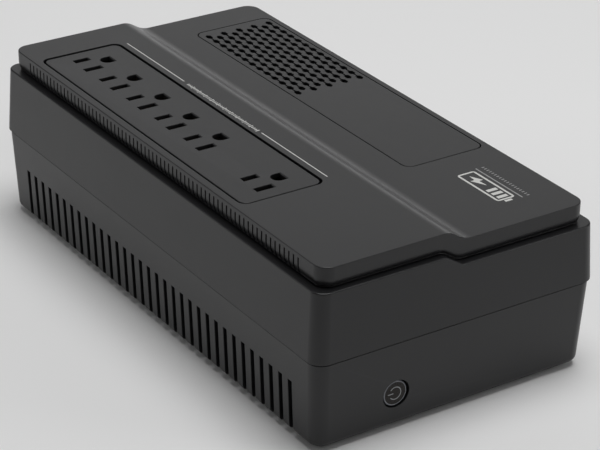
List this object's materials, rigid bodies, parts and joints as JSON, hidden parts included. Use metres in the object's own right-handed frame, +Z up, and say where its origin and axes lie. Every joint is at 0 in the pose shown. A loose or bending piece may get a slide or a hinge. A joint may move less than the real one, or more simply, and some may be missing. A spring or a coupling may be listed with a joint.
{
  "type": "uninterruptible power supply",
  "caption": "Low desktop power backup in a black vented plastic case, with a row of mains sockets on its raised top side, a power button, battery, transformer and control board.",
  "frame": {"origin": "on the resting plane, under the middle of the case", "axes": "+Z up, -Y the front end with the power button, +Y the back end, -X the raised side with the sockets, +X the low side with the vent panel"},
  "size_m": [0.1604, 0.305, 0.094],
  "materials": {
    "case": "moulded charcoal black plastic with a fine satin grain",
    "button": "satin grey brown plastic with a pale symbol",
    "rubber": "matt black rubber",
    "steel": "zinc plated steel",
    "core": "varnished steel laminations",
    "liner": "matt dark moulded plastic",
    "brass": "rolled brass strip",
    "black": "matt black moulded plastic",
    "board": "green solder mask",
    "lead_black": "black insulation",
    "lead_red": "red insulation",
    "battery": "dark grey moulded plastic",
    "winding": "enamelled copper under yellow brown tape",
    "aluminium": "extruded aluminium",
    "component": "dark blue component cases",
    "fuse_glass": "nickel plated caps"
  },
  "bodies": {
    "case": {"base_shell": "case", "upper_shell": "case", "top_cover": "case", "outlet_panel": "case", "vent_panel": "case", "foot_front_left": "rubber", "foot_front_right": "rubber", "foot_back_left": "rubber", "foot_back_right": "rubber", "cord_gland": "rubber", "case_screw_1": "steel", "case_screw_2": "steel", "case_screw_3": "steel", "case_screw_4": "steel", "cover_screw_1": "steel", "cover_screw_2": "steel", "cover_screw_3": "steel", "cover_screw_4": "steel", "battery_strap": "steel", "strap_screw_1": "steel", "strap_screw_2": "steel", "transformer_bracket": "steel", "transformer_screw_1": "steel", "transformer_screw_2": "steel", "fuse_holder": "steel", "breaker_nut": "steel", "transformer_core": "core", "socket_carrier": "liner", "line_strip": "brass", "neutral_strip": "brass", "ground_strip": "brass", "battery_terminal_positive": "brass", "battery_terminal_negative": "brass", "switch_body": "black", "buzzer": "black", "breaker_body": "black", "button_board": "board", "main_board": "board", "button_lead": "lead_black", "battery_lead_negative": "lead_black", "battery_lead_positive": "lead_red", "transformer_lead_1": "lead_red", "transformer_lead_2": "lead_red", "battery": "battery", "transformer_winding": "winding", "heat_sink_1": "aluminium", "heat_sink_2": "aluminium", "relay_1": "component", "relay_2": "component", "relay_3": "component", "capacitor_1": "component", "capacitor_2": "component", "varistor": "component", "fuse": "fuse_glass"},
    "power_button": {"power_button": "button", "switch_plunger": "black"},
    "breaker_reset_button": {"breaker_reset_button": "black"}
  },
  "joints": [
    {"name": "power_button_press", "type": "slide", "parent": "case", "child": "power_button", "axis": [0, 1, 0], "range_m": [0, 0.0015], "stiffness_N_per_m": 400},
    {"name": "breaker_reset_travel", "type": "slide", "parent": "case", "child": "breaker_reset_button", "axis": [0, 1, 0], "range_m": [0, 0.003]}
  ]
}
